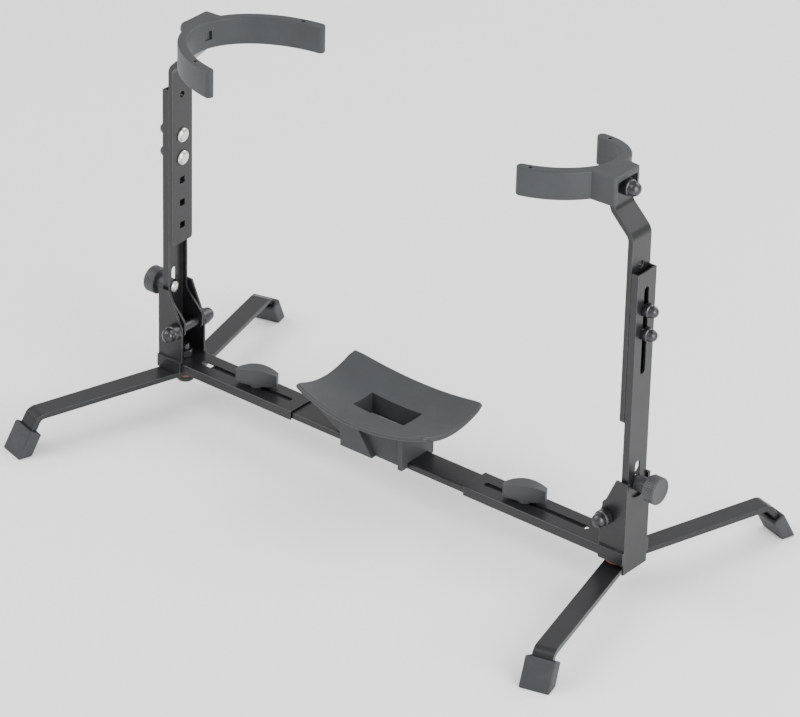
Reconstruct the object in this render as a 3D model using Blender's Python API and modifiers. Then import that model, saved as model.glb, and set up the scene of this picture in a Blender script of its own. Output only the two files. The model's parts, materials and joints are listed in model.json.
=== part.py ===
"""Folding floor stand: two C-shaped holders on cranked uprights, and a dished saddle between them.

Metres, +Z up.  The origin is on the floor under the middle of the stand and +X runs along the bar.
Both towers are one design.  It is written in the coordinates of the left tower, where +X points
inward, and the right tower is the same turned half a turn about Z.
"""
import math

import bmesh
import bpy
from mathutils import Matrix, Vector

GAP = 0.0003
SHEET = 0.0018
ROUND_STEPS = 16

# bar and saddle
BAR_ENDS = (-0.220, 0.212)
BAR_WIDTH = 0.029
BAR_BOTTOM = 0.0402
BAR_TOP = 0.0462
CHANNEL_WIDTH = 0.0331
CHANNEL_BOTTOM = 0.0392
CHANNEL_TOP = 0.0484
WING_BOTTOM = 0.0506
WING_TOP = 0.068
SLOT_WIDTH = 0.0065
M6 = 0.003
M6_HOLE = 0.0033
M8 = 0.004
M8_HOLE = 0.0043
SADDLE_MIDDLE = -0.009
SADDLE_HALF_LENGTH = 0.075
SADDLE_HALF_WIDTH = 0.049
SADDLE_LOW = 0.080
SADDLE_THICKNESS = 0.005
SADDLE_BODY = (-0.046, 0.0205)
SADDLE_BODY_HALF_WIDTH = 0.0172
SADDLE_RIB_HALF_WIDTH = 0.023
SADDLE_FLOOR = 0.0405
SADDLE_JOIN = 0.0804
PAD_TOP = 0.0635
WELL = (-0.0395, 0.019)
WELL_HALF_WIDTH = 0.014

# tower, in the left tower's coordinates
WEB_FACE = -0.2671
BRACKET_HALF_WIDTH = 0.01675
BRACKET_TOP = 0.1197
BRACKET_DEPTH = 0.028
PLATE = 0.002
PIN_X = -0.2481
PIN_Z = 0.081
LOCK_Z = 0.115
UPRIGHT_HALF_WIDTH = 0.0132
UPRIGHT_DEPTH = 0.007
UPRIGHT_TOP = 0.323
STRIP_THICKNESS = 0.005
STRIP_WIDTH = 0.027
STRIP_BOTTOM = 0.166
STRIP_TOP = 0.390
CRANK_Z = 0.346
CRANK_SHIFT = 0.021
HOLE_PITCH = 0.023
TOP_HOLE_Z = 0.276
YOKE_TOP = 0.3985
YOKE_HEIGHT = 0.0268
YOKE_ORIGIN_X = -0.240
YOKE_BOLT_DROP = 0.0135
RECESS_DROP = 0.0052
BIG_CAP = (0.0078, 0.016)

# legs
LEG_PIVOT_X = -0.2513
LEG_WIDTH = 0.020
LEG_THICKNESS = 0.005
LEG_KNEE = 0.162
LEG_SLOPE = math.radians(62)
UPPER_LEG_Z = 0.0351
LOWER_LEG_Z = 0.0285
UPPER_LEG_ANGLE = math.radians(17.0)
LOWER_LEG_ANGLE = math.radians(14.25)
WASHER = 0.012
FOOT_LENGTH = 0.026
FOOT_THICKNESS = 0.013
FOOT_WIDTH = 0.0288

# colour, metallic, roughness
FINISHES = {
    "black_paint": ((0.035, 0.036, 0.040, 1.0), 0.0, 0.42),
    "grey_plastic": ((0.115, 0.125, 0.145, 1.0), 0.0, 0.55),
    "black_plastic": ((0.018, 0.018, 0.020, 1.0), 0.0, 0.38),
    "zinc": ((0.62, 0.62, 0.60, 1.0), 1.0, 0.28),
    "dark_steel": ((0.055, 0.055, 0.060, 1.0), 1.0, 0.35),
    "rubber": ((0.022, 0.022, 0.024, 1.0), 0.0, 0.75),
    "red_fibre": ((0.62, 0.13, 0.04, 1.0), 0.0, 0.70),
    "foam": ((0.45, 0.45, 0.45, 1.0), 0.0, 0.95),
}

TOWERS = {
    "left": {
        "turn": Matrix(),
        "channel_end": -0.1099,
        "slot": (-0.2295, -0.1226),
        "knob_x": -0.164,
        "raised": 0.0,
        "yoke": {
            "middle": (0.1049, -0.0041), "axes": (0.0909, 0.0631), "turned": math.radians(7.6),
            "thickness": 0.0086, "arc": (math.radians(91), math.radians(248)),
            "holes": (math.radians(101.6), math.radians(235)),
        },
        "legs": {"upper": "front", "lower": "back"},
    },
    "right": {
        "turn": Matrix.Rotation(math.pi, 4, "Z"),
        "channel_end": -0.0907,
        "slot": (-0.218, -0.102),
        "knob_x": -0.147,
        "raised": 0.010,
        "yoke": {
            "middle": (0.0701, 0.0058), "axes": (0.0548, 0.0336), "turned": math.radians(34),
            "thickness": 0.010, "arc": (math.radians(64), math.radians(230)),
            "holes": (math.radians(71), math.radians(222)),
        },
        "legs": {"upper": "back", "lower": "front"},
    },
}


def clear_scene():
    for old in list(bpy.data.objects):
        bpy.data.objects.remove(old, do_unlink=True)


def new_collection(name):
    collection = bpy.data.collections.new(name)
    bpy.context.scene.collection.children.link(collection)
    return collection


def paint(piece, finish):
    colour, metallic, roughness = FINISHES[finish]
    material = bpy.data.materials.new(piece.name)
    material.use_nodes = True
    shader = material.node_tree.nodes["Principled BSDF"]
    shader.inputs["Base Color"].default_value = colour
    shader.inputs["Metallic"].default_value = metallic
    shader.inputs["Roughness"].default_value = roughness
    material.diffuse_color = colour
    piece.data.materials.clear()
    piece.data.materials.append(material)


def keep(piece, name, finish, axis=None):
    """Makes a finished piece part of the stand, riding on an empty on its joint's axis."""
    piece.name = name
    piece.data.name = name
    paint(piece, finish)
    if axis is not None:
        piece.parent = axis
        piece.matrix_parent_inverse = axis.matrix_basis.inverted()
    return piece


def joint_axis(name, place):
    empty = bpy.data.objects.new(name, None)
    empty.empty_display_size = 0.02
    empty.matrix_basis = Matrix.Translation(place)
    stand.objects.link(empty)
    return empty


def combine(piece, tool, operation):
    modifier = piece.modifiers.new(operation.title(), "BOOLEAN")
    modifier.operation = operation
    modifier.object = tool
    tool.hide_render = True
    tool.display_type = "WIRE"
    stand.objects.unlink(tool)
    cutters.objects.link(tool)
    return piece


def cut(piece, *tools):
    for tool in tools:
        combine(piece, tool, "DIFFERENCE")
    return piece


def add(piece, *tools):
    for tool in tools:
        combine(piece, tool, "UNION")
    return piece


def mesh_object(shape, place=Matrix()):
    mesh = bpy.data.meshes.new("piece")
    shape.to_mesh(mesh)
    shape.free()
    piece = bpy.data.objects.new("piece", mesh)
    piece.matrix_basis = place
    stand.objects.link(piece)
    return piece


def block(low, high, place=Matrix()):
    shape = bmesh.new()
    bmesh.ops.create_cube(shape, size=1.0)
    size = Vector(high) - Vector(low)
    middle = (Vector(high) + Vector(low)) / 2
    scale = Matrix.Diagonal((*size, 1.0))
    bmesh.ops.transform(shape, matrix=Matrix.Translation(middle) @ scale, verts=shape.verts)
    return mesh_object(shape, place)


def rod(radius, start, end, place=Matrix(), steps=ROUND_STEPS):
    """A cylinder between two points."""
    shape = bmesh.new()
    run = Vector(end) - Vector(start)
    bmesh.ops.create_cone(shape, cap_ends=True, segments=steps, radius1=radius, radius2=radius,
                          depth=run.length)
    aim = run.to_track_quat("Z", "Y").to_matrix().to_4x4()
    middle = Matrix.Translation((Vector(start) + Vector(end)) / 2)
    bmesh.ops.transform(shape, matrix=middle @ aim, verts=shape.verts)
    return mesh_object(shape, place)


def turned(profile, place, closed=False, steps=ROUND_STEPS):
    """A profile of (radius, height) points, outer side first from the top down, turned about Z."""
    mesh = bpy.data.meshes.new("turned")
    corners = [(radius, 0.0, height) for radius, height in profile]
    edges = [(i, i + 1) for i in range(len(corners) - 1)]
    if closed:
        edges.append((len(corners) - 1, 0))
    mesh.from_pydata(corners, edges, [])
    piece = bpy.data.objects.new("turned", mesh)
    piece.matrix_basis = place
    screw = piece.modifiers.new("Screw", "SCREW")
    screw.steps = steps
    screw.render_steps = steps
    screw.use_merge_vertices = True
    screw.merge_threshold = 0.00005
    stand.objects.link(piece)
    return piece


def facing(point, direction, turn=Matrix()):
    """A place at a point whose Z runs along a direction."""
    aim = Vector(direction).to_track_quat("Z", "Y").to_matrix().to_4x4()
    return turn @ Matrix.Translation(point) @ aim


def plate(outlines, axis, low, high, place=Matrix()):
    """Flat outlines, the first with the others as holes, from low to high along an axis."""
    curve = bpy.data.curves.new("plate", "CURVE")
    curve.dimensions = "2D"
    curve.fill_mode = "BOTH"
    curve.extrude = (high - low) / 2
    for outline in outlines:
        spline = curve.splines.new("POLY")
        spline.points.add(len(outline) - 1)
        spline.use_cyclic_u = True
        for point, (x, y) in zip(spline.points, outline):
            point.co = (x, y, 0.0, 1.0)
    guide = bpy.data.objects.new("plate", curve)
    middle = (low + high) / 2
    planes = {
        "X": Matrix(((0, 0, 1, middle), (1, 0, 0, 0), (0, 1, 0, 0), (0, 0, 0, 1))),
        "Y": Matrix(((1, 0, 0, 0), (0, 0, -1, middle), (0, 1, 0, 0), (0, 0, 0, 1))),
        "Z": Matrix.Translation((0, 0, middle)),
    }
    guide.matrix_basis = place @ planes[axis]
    stand.objects.link(guide)
    graph = bpy.context.evaluated_depsgraph_get()
    mesh = bpy.data.meshes.new_from_object(guide.evaluated_get(graph))
    shape = bmesh.new()
    shape.from_mesh(mesh)
    bmesh.ops.remove_doubles(shape, verts=shape.verts, dist=0.00001)
    shape.to_mesh(mesh)
    shape.free()
    piece = bpy.data.objects.new("plate", mesh)
    piece.matrix_basis = guide.matrix_basis
    bpy.data.objects.remove(guide)
    stand.objects.link(piece)
    return piece


def rounded(corners, steps=4):
    """An outline whose corners (x, y, radius) are rounded; a corner (x, y) stays sharp."""
    points = []
    for index, corner in enumerate(corners):
        here = Vector(corner[:2])
        if len(corner) == 2:
            points.append(here)
            continue
        before = (Vector(corners[index - 1][:2]) - here).normalized()
        after = (Vector(corners[(index + 1) % len(corners)][:2]) - here).normalized()
        half = before.angle(after) / 2
        radius = corner[2]
        start = here + before * radius / math.tan(half)
        centre = here + (before + after).normalized() * radius / math.sin(half)
        side = 1.0 if before.x * after.y < before.y * after.x else -1.0
        for step in range(steps + 1):
            angle = side * (math.pi - 2 * half) * step / steps
            points.append(centre + Matrix.Rotation(angle, 2) @ (start - centre))
    return points


def stadium(start, end, width, steps=8):
    """A slot along the first axis with half-round ends."""
    points = []
    radius = width / 2
    for middle, begin in ((end - radius, -math.pi / 2), (start + radius, math.pi / 2)):
        for step in range(steps + 1):
            angle = begin + math.pi * step / steps
            points.append((middle + radius * math.cos(angle), radius * math.sin(angle)))
    return points


def u_section(width, low, high, wall):
    """A channel's section, open downward."""
    half = width / 2
    inner = half - wall
    return [(-half, low), (-inner, low), (-inner, high - wall), (inner, high - wall), (inner, low),
            (half, low), (half, high, 0.0015), (-half, high, 0.0015)]


def bent_strip(path, thickness, bend):
    """The side outline of a strip along a path of (x, y) points, with its bends rounded."""
    sides = []
    points = [Vector(point) for point in path]
    for hand in (1, -1):
        side = []
        for index, here in enumerate(points):
            leave = (points[min(index + 1, len(points) - 1)] - here).normalized()
            arrive = (here - points[max(index - 1, 0)]).normalized()
            if index == 0:
                arrive = leave
            if index == len(points) - 1:
                leave = arrive
            normal = Vector((-arrive.y - leave.y, arrive.x + leave.x)).normalized()
            reach = thickness / 2 / normal.dot(Vector((-arrive.y, arrive.x)))
            spot = here + normal * reach * hand
            turn = arrive.x * leave.y - arrive.y * leave.x
            if abs(turn) < 0.001:
                side.append((spot.x, spot.y))
            else:
                radius = bend - thickness / 2 if turn * hand > 0 else bend + thickness / 2
                side.append((spot.x, spot.y, radius))
        sides.append(side)
    return rounded(sides[1] + sides[0][::-1])


def centre_bar():
    section = rounded(u_section(BAR_WIDTH, BAR_BOTTOM, BAR_TOP, SHEET), steps=3)
    bar = plate([section], "X", *BAR_ENDS)
    for tower in TOWERS.values():
        spot = tower["turn"] @ Vector((tower["knob_x"], 0, 0))
        cut(bar, rod(M6_HOLE, (spot.x, 0, 0.040), (spot.x, 0, 0.050)))
    keep(bar, "centre_bar", "black_paint")


def dish():
    """The saddle's doubly concave top: low in the middle, highest at its four corners."""
    shape = bmesh.new()
    bmesh.ops.create_grid(shape, x_segments=16, y_segments=12, size=1.0)
    for vertex in shape.verts:
        along, across = vertex.co.x, vertex.co.y
        height = SADDLE_LOW + 0.010 * along ** 2 + 0.009 * across ** 2 + 0.002 * (along * across) ** 2
        half_width = SADDLE_HALF_WIDTH - 0.0075 * along ** 2
        vertex.co = (SADDLE_MIDDLE + SADDLE_HALF_LENGTH * along, half_width * across, height)
    piece = mesh_object(shape)
    solid = piece.modifiers.new("Solidify", "SOLIDIFY")
    solid.thickness = SADDLE_THICKNESS
    solid.offset = -1.0
    return piece


def saddle(axis):
    floor, top = SADDLE_FLOOR, SADDLE_JOIN
    body, rib = SADDLE_BODY_HALF_WIDTH, SADDLE_RIB_HALF_WIDTH
    low, high = SADDLE_BODY
    left_panel = [(low, floor), (-0.009, floor), (-0.036, top), (low, top)]
    wedge = [(low + 0.002, 0.0476), (-0.076, 0.066), (-0.076, 0.0862), (low + 0.002, 0.081)]
    piece = add(
        dish(),
        block((low, -body, floor), (high + 0.001, body, top)),
        plate([left_panel], "Y", -rib, rib),
        plate([wedge], "Y", -0.019, 0.019),
        block((high, -rib, floor), (0.026, rib, top)),
    )
    cut(
        piece,
        block((-0.100, -0.0148, 0.030), (0.100, 0.0148, BAR_TOP + GAP)),
        block((WELL[0], -WELL_HALF_WIDTH, 0.044), (WELL[1], WELL_HALF_WIDTH, 0.100)),
    )
    keep(piece, "saddle", "grey_plastic", axis)
    pad = block((WELL[0] + GAP, GAP - WELL_HALF_WIDTH, BAR_TOP + GAP),
                (WELL[1] - GAP, WELL_HALF_WIDTH - GAP, PAD_TOP))
    keep(pad, "saddle_pad", "foam", axis)


def lens(half_length, half_width, blunt, steps=6):
    """A plan outline of two shallow arcs that meet at blunt ends."""
    outline = []
    for hand in (1, -1):
        for step in range(steps + 1):
            along = hand * (1 - 2 * step / steps)
            across = hand * (blunt + (half_width - blunt) * (1 - along ** 2))
            outline.append((half_length * along, across))
    return outline


def wing_knob(side, tower, turn):
    spot = Vector((tower["knob_x"], 0, 0))
    place = turn @ Matrix.Translation(spot)
    hub_base = CHANNEL_TOP + GAP
    wing_place = place @ Matrix.Rotation(math.radians(23), 4, "Z")
    wing = plate([lens(0.020, 0.0068, 0.0036)], "Z", WING_BOTTOM, WING_TOP, wing_place)
    arch = [(-0.021, WING_BOTTOM - 0.002), (0.021, WING_BOTTOM - 0.002)]
    for step in range(9):
        along = 1 - 2 * step / 8
        arch.append((0.021 * along, WING_TOP - 0.0055 * along ** 2))
    combine(wing, plate([arch], "Y", -0.010, 0.010, wing_place), "INTERSECT")
    hub = turned([(0, 0.053), (0.0062, 0.053), (0.0072, 0.050), (0.0072, hub_base), (0, hub_base)], place)
    add(hub, wing)
    cut(hub, rod(M6_HOLE, (0, 0, 0.045), (0, 0, 0.0624), place))
    keep(hub, side + "_wing_knob", "black_plastic", joint_axis(side + "_wing_axis", turn @ spot))
    under = BAR_TOP - SHEET - GAP
    bolt = turned([(0, 0.062), (M6, 0.062), (M6, under), (0.006, under), (0.0055, under - 0.0018),
                   (0.003, under - 0.0027), (0, under - 0.003)], place)
    keep(bolt, side + "_clamp_bolt", "zinc")


def end_channel(side, tower, turn, axis):
    section = rounded(u_section(CHANNEL_WIDTH, CHANNEL_BOTTOM, CHANNEL_TOP, SHEET), steps=3)
    channel = plate([section], "X", WEB_FACE, tower["channel_end"], turn)
    cut(
        channel,
        plate([stadium(*tower["slot"], SLOT_WIDTH)], "Z", 0.044, 0.052, turn),
        rod(M8_HOLE, (LEG_PIVOT_X, 0, 0.044), (LEG_PIVOT_X, 0, 0.052), turn),
    )
    keep(channel, side + "_end_channel", "black_paint", axis)


def bracket(side, turn, axis):
    """A web outside the upright, two flanges, and tabs that step out over the channel's sides."""
    web_inner = WEB_FACE - GAP
    web_outer = web_inner - PLATE
    inner_edge = web_outer + BRACKET_DEPTH
    half = BRACKET_HALF_WIDTH
    tab_inner = CHANNEL_WIDTH / 2 + 0.00035
    tab_bottom = UPPER_LEG_Z + LEG_THICKNESS / 2 + 0.0006
    step = CHANNEL_TOP + GAP
    web = plate([[(-half, 0.0279), (half, 0.0279), (half, BRACKET_TOP), (-half, BRACKET_TOP)]],
                "X", web_outer, web_inner, turn)
    flange = [(half - PLATE, BRACKET_TOP), (half - PLATE, step), (tab_inner, step),
              (tab_inner, tab_bottom), (tab_inner + PLATE, tab_bottom),
              (tab_inner + PLATE, step + PLATE), (half, step + PLATE), (half, BRACKET_TOP)]
    for hand in (1, -1):
        outline = [(hand * y, z) for y, z in flange]
        add(web, plate([outline[::hand]], "X", web_outer, inner_edge, turn))
    slope = [(inner_edge - 0.0155, 0.130), (inner_edge - 0.0155, BRACKET_TOP),
             (inner_edge, 0.085), (inner_edge + 0.010, 0.085), (inner_edge + 0.010, 0.130)]
    corner = [(inner_edge - 0.004, 0.030), (inner_edge + 0.010, 0.030),
              (inner_edge + 0.010, 0.043), (inner_edge, 0.043)]
    notch = rounded([(-0.0135, 0.1015, 0.01345), (0.0135, 0.1015, 0.01345),
                     (0.0135, 0.130), (-0.0135, 0.130)], steps=8)
    cut(
        web,
        plate([slope], "Y", -0.025, 0.025, turn),
        plate([corner], "Y", -0.025, 0.025, turn),
        plate([notch], "X", web_outer - 0.005, web_inner + 0.003, turn),
        rod(M6_HOLE, (PIN_X, -0.025, PIN_Z), (PIN_X, 0.025, PIN_Z), turn),
    )
    keep(web, side + "_bracket", "black_paint", axis)


def cap_nut(point, direction, turn, radius=0.0066, length=0.0125):
    """A domed nut with a blind bore, its seat on the point."""
    dome = radius * 0.84
    base = length * 0.45
    profile = [(0, length), (dome * 0.5, length - 0.0007), (dome * 0.87, length - 0.0025),
               (dome, length - 0.0052), (dome, base), (radius, base), (radius, 0), (M6_HOLE, 0),
               (M6_HOLE, 0.0056), (0, 0.0056)]
    return turned(profile, facing(point, direction, turn))


def fold_hinge(side, turn, axis):
    seat = BRACKET_HALF_WIDTH + GAP
    pin = rod(M6, (PIN_X, -0.022, PIN_Z), (PIN_X, 0.022, PIN_Z), turn)
    keep(pin, side + "_pivot_pin", "zinc", axis)
    hands = {"front": -1, "back": 1}
    for name, hand in hands.items():
        world_hand = hand if side == "left" else -hand
        nut = cap_nut((PIN_X, world_hand * seat, PIN_Z), (0, world_hand, 0), turn, *BIG_CAP)
        keep(nut, side + "_pivot_cap_" + name, "dark_steel", axis)
    half = UPRIGHT_HALF_WIDTH - PLATE - GAP
    sleeve = turned([(0.0045, half), (0.0045, -half), (M6_HOLE, -half), (M6_HOLE, half)],
                    facing((PIN_X, 0, PIN_Z), (0, 1, 0), turn), closed=True)
    keep(sleeve, side + "_pivot_sleeve", "dark_steel", axis)


def lower_upright(side, turn, axis):
    """A slotted channel, open inward, whose flanges run down to lugs round the pivot pin."""
    tips = WEB_FACE + UPRIGHT_DEPTH
    half = UPRIGHT_HALF_WIDTH
    lug = 0.0075
    outline = rounded([
        (WEB_FACE, UPRIGHT_TOP), (WEB_FACE, PIN_Z - 0.0005), (PIN_X - lug, PIN_Z - lug, 0.004),
        (PIN_X + lug, PIN_Z - lug, 0.0074), (PIN_X + lug, PIN_Z + 0.010, 0.006),
        (tips, PIN_Z + 0.031, 0.010), (tips, UPRIGHT_TOP),
    ])
    piece = plate([outline], "Y", -half, half, turn)
    hollow = block((WEB_FACE + PLATE, PLATE - half, 0.050), (-0.230, half - PLATE, 0.340), turn)
    height_slot = [(z, x) for x, z in stadium(0.223, 0.308, SLOT_WIDTH)]
    lock_slot = [(z, x) for x, z in stadium(0.11175, 0.13625, SLOT_WIDTH)]
    cut(
        piece,
        hollow,
        plate([[(y, z) for y, z in height_slot]], "X", WEB_FACE - 0.003, WEB_FACE + 0.004, turn),
        plate([[(y, z) for y, z in lock_slot]], "X", WEB_FACE - 0.003, WEB_FACE + 0.004, turn),
        rod(M6_HOLE, (PIN_X, -0.025, PIN_Z), (PIN_X, 0.025, PIN_Z), turn),
    )
    keep(piece, side + "_lower_upright", "black_paint", axis)


def lock(side, turn):
    spot = (WEB_FACE, 0, LOCK_Z)
    axis = joint_axis(side + "_lock_axis", turn @ Vector(spot))
    place = facing(spot, (-1, 0, 0), turn)
    seat = -PLATE - GAP
    bolt = turned([(0, 0.0209), (M6, 0.0209), (M6, seat), (0.006, seat), (0.0052, seat - 0.002),
                   (0, seat - 0.003)], place)
    keep(bolt, side + "_lock_bolt", "zinc", axis)
    knob = turned([(0, 0.0255), (0.0112, 0.0255), (0.0127, 0.024), (0.0127, 0.015), (0.0115, 0.0137),
                   (0.0075, 0.0135), (0.0075, GAP), (M6_HOLE, GAP), (M6_HOLE, 0.0215), (0, 0.0215)],
                  place, steps=24)
    keep(knob, side + "_lock_knob", "black_plastic", axis)


def strip_x():
    return WEB_FACE + UPRIGHT_DEPTH + GAP + STRIP_THICKNESS / 2


def upper_upright(side, raised, turn, axis):
    """A flat strip with square holes, cranked inward at the top."""
    low_x = strip_x()
    high_x = low_x + CRANK_SHIFT
    path = [(low_x, STRIP_BOTTOM + raised), (low_x, CRANK_Z + raised),
            (high_x, CRANK_Z + raised + CRANK_SHIFT), (high_x, STRIP_TOP + raised)]
    strip = plate([bent_strip(path, STRIP_THICKNESS, 0.010)], "Y", -0.020, 0.020, turn)
    half = STRIP_WIDTH / 2
    front = rounded([(-half, STRIP_BOTTOM + raised, 0.003), (half, STRIP_BOTTOM + raised, 0.003),
                     (half, STRIP_TOP + raised, 0.007), (-half, STRIP_TOP + raised, 0.007)])
    combine(strip, plate([front], "X", -0.280, -0.200, turn), "INTERSECT")
    for row in range(5):
        z = TOP_HOLE_Z + raised - row * HOLE_PITCH
        cut(strip, block((-0.270, -0.0034, z - 0.0034), (-0.245, 0.0034, z + 0.0034), turn))
    round_z = TOP_HOLE_Z + raised + 0.041
    yoke_z = YOKE_TOP + raised - YOKE_BOLT_DROP
    cut(
        strip,
        rod(M6_HOLE, (-0.270, 0, round_z), (-0.245, 0, round_z), turn),
        rod(M6_HOLE, (-0.250, 0, yoke_z), (-0.225, 0, yoke_z), turn),
    )
    keep(strip, side + "_upper_upright", "black_paint", axis)
    inner_face = low_x + STRIP_THICKNESS / 2
    for name, z in (("upper", TOP_HOLE_Z + raised), ("lower", TOP_HOLE_Z + raised - HOLE_PITCH)):
        place = facing((inner_face, 0, z), (-1, 0, 0), turn)
        bolt = turned([(0, 0.0178), (M6, 0.0178), (M6, -GAP), (0.007, -GAP), (0.0062, -0.0018),
                       (0.0038, -0.0032), (0, -0.0038)], place)
        add(bolt, block((-0.0031, -0.0031, -0.001), (0.0031, 0.0031, 0.0048), place))
        keep(bolt, side + "_height_bolt_" + name, "zinc", axis)
        nut = cap_nut((WEB_FACE - GAP, 0, z), (-1, 0, 0), turn)
        keep(nut, side + "_height_nut_" + name, "dark_steel", axis)


def ellipse_point(shape, grow, angle):
    along = (shape["axes"][0] + grow) * math.cos(angle)
    across = (shape["axes"][1] + grow) * math.sin(angle)
    spot = Matrix.Rotation(shape["turned"], 2) @ Vector((along, across))
    return spot + Vector(shape["middle"])


def inner_wall(shape):
    """Where the holder's inner face crosses the tower's middle plane, in holder coordinates."""
    cosine, sine = math.cos(shape["turned"]), math.sin(shape["turned"])
    a2, b2 = shape["axes"][0] ** 2, shape["axes"][1] ** 2
    across = -shape["middle"][1]
    square = cosine ** 2 / a2 + sine ** 2 / b2
    linear = 2 * across * sine * cosine * (1 / a2 - 1 / b2)
    rest = across ** 2 * (sine ** 2 / a2 + cosine ** 2 / b2) - 1
    along = (-linear - math.sqrt(linear ** 2 - 4 * square * rest)) / (2 * square)
    return shape["middle"][0] + along


def yoke_outline(shape, steps=36, end_steps=5):
    """A C-shaped band of even thickness with round tips, and a square shoulder at its back."""
    first, last = shape["arc"]
    angles = [first + (last - first) * step / steps for step in range(steps + 1)]
    outer = [ellipse_point(shape, shape["thickness"], angle) for angle in angles]
    inner = [ellipse_point(shape, 0.0, angle) for angle in reversed(angles)]
    at_back = [abs(point.y) < 0.018 and point.x < 0.045 for point in outer]
    block_corners = rounded([(0.03, 0.018), (-0.002, 0.018, 0.003), (-0.002, -0.018, 0.003),
                             (0.03, -0.018)], 3)[1:-1]
    start = at_back.index(True)
    rest = [point for point, back in zip(outer[start:], at_back[start:]) if not back]
    outer = outer[:start] + block_corners + rest
    return outer + tip(outer[-1], inner[0], end_steps) + inner + tip(inner[-1], outer[0], end_steps)


def tip(start, end, steps):
    """The points of a half circle from one side of the band to the other, past its end."""
    centre = (start + end) / 2
    return [centre + Matrix.Rotation(math.pi * step / steps, 2) @ (start - centre)
            for step in range(1, steps)]


def yoke(side, tower, turn, axis):
    shape = tower["yoke"]
    top = YOKE_TOP + tower["raised"]
    bottom = top - YOKE_HEIGHT
    bolt_z = top - YOKE_BOLT_DROP
    home = turn @ Matrix.Translation((YOKE_ORIGIN_X, 0, 0))
    wall = inner_wall(shape)
    recess_floor = strip_x() + CRANK_SHIFT + STRIP_THICKNESS / 2 + GAP - YOKE_ORIGIN_X
    piece = plate([yoke_outline(shape)], "Z", bottom, top, home)
    half = STRIP_WIDTH / 2 + GAP
    cut(
        piece,
        block((-0.010, -half, bottom - 0.010), (recess_floor, half, top - RECESS_DROP), home),
        block((wall - 0.005, -0.0045, bolt_z - 0.0045), (wall + 0.012, 0.0045, bolt_z + 0.0045), home),
        rod(M6_HOLE, (0, 0, bolt_z), (wall + 0.012, 0, bolt_z), home),
    )
    for angle in shape["holes"]:
        spot = ellipse_point(shape, shape["thickness"] / 2, angle)
        cut(piece, rod(0.0018, (*spot, bottom - 0.005), (*spot, top + 0.005), home, 10))
    keep(piece, side + "_yoke", "grey_plastic", axis)
    place = facing((wall, 0, bolt_z), (-1, 0, 0), home)
    bolt = turned([(0, wall + 0.0042), (M6, wall + 0.0042), (M6, 0.0015), (0, 0.0015)], place)
    add(bolt, block((-0.0042, -0.0042, 0.0007), (0.0042, 0.0042, 0.0047), place))
    keep(bolt, side + "_yoke_bolt", "dark_steel", axis)
    nut_x = strip_x() + CRANK_SHIFT - STRIP_THICKNESS / 2 - GAP
    keep(cap_nut((nut_x, 0, bolt_z), (-1, 0, 0), turn, *BIG_CAP), side + "_yoke_nut", "dark_steel", axis)


def leg_place(tower, level):
    """The leg's own frame: X runs out along the leg from its pivot."""
    angle = UPPER_LEG_ANGLE if level == "upper" else LOWER_LEG_ANGLE
    across = -1 if (level == "upper") else 1
    heading = math.atan2(across * math.cos(angle), -math.sin(angle))
    pivot = Matrix.Translation((LEG_PIVOT_X, 0, 0))
    return tower["turn"] @ pivot @ Matrix.Rotation(heading, 4, "Z")


def leg(side, tower, level):
    height = UPPER_LEG_Z if level == "upper" else LOWER_LEG_Z
    place = leg_place(tower, level)
    name = side + "_" + tower["legs"][level]
    axis = joint_axis(name + "_leg_axis", tower["turn"] @ Vector((LEG_PIVOT_X, 0, height)))
    down = Vector((math.cos(LEG_SLOPE), -math.sin(LEG_SLOPE)))
    floor_point = Vector((LEG_KNEE + height / math.tan(LEG_SLOPE), 0))
    strip_end = floor_point - down * 0.006
    knee = (LEG_KNEE, height)
    strip = plate([bent_strip([(-0.015, height), knee, strip_end], LEG_THICKNESS, 0.008)],
                  "Y", -0.015, 0.015, place)
    plan = stadium(-LEG_WIDTH / 2, 0.300, LEG_WIDTH)
    combine(strip, plate([plan], "Z", -0.010, 0.050, place), "INTERSECT")
    cut(strip, rod(M8_HOLE, (0, 0, 0.020), (0, 0, 0.042), place))
    keep(strip, name + "_leg", "black_paint", axis)

    across = Vector((math.sin(LEG_SLOPE), math.cos(LEG_SLOPE))) * FOOT_THICKNESS / 2
    spread = Vector((FOOT_THICKNESS / 2 / math.sin(LEG_SLOPE), 0))
    top = floor_point - down * FOOT_LENGTH
    foot = plate([[floor_point - spread, floor_point + spread, top + across, top - across]],
                 "Y", -FOOT_WIDTH / 2, FOOT_WIDTH / 2, place)
    pocket = bent_strip([knee, strip_end + down * GAP], LEG_THICKNESS + 2 * GAP, 0.008)
    half = LEG_WIDTH / 2 + GAP
    cut(foot, plate([pocket], "Y", -half, half, place))
    keep(foot, name + "_foot", "rubber", axis)


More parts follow.
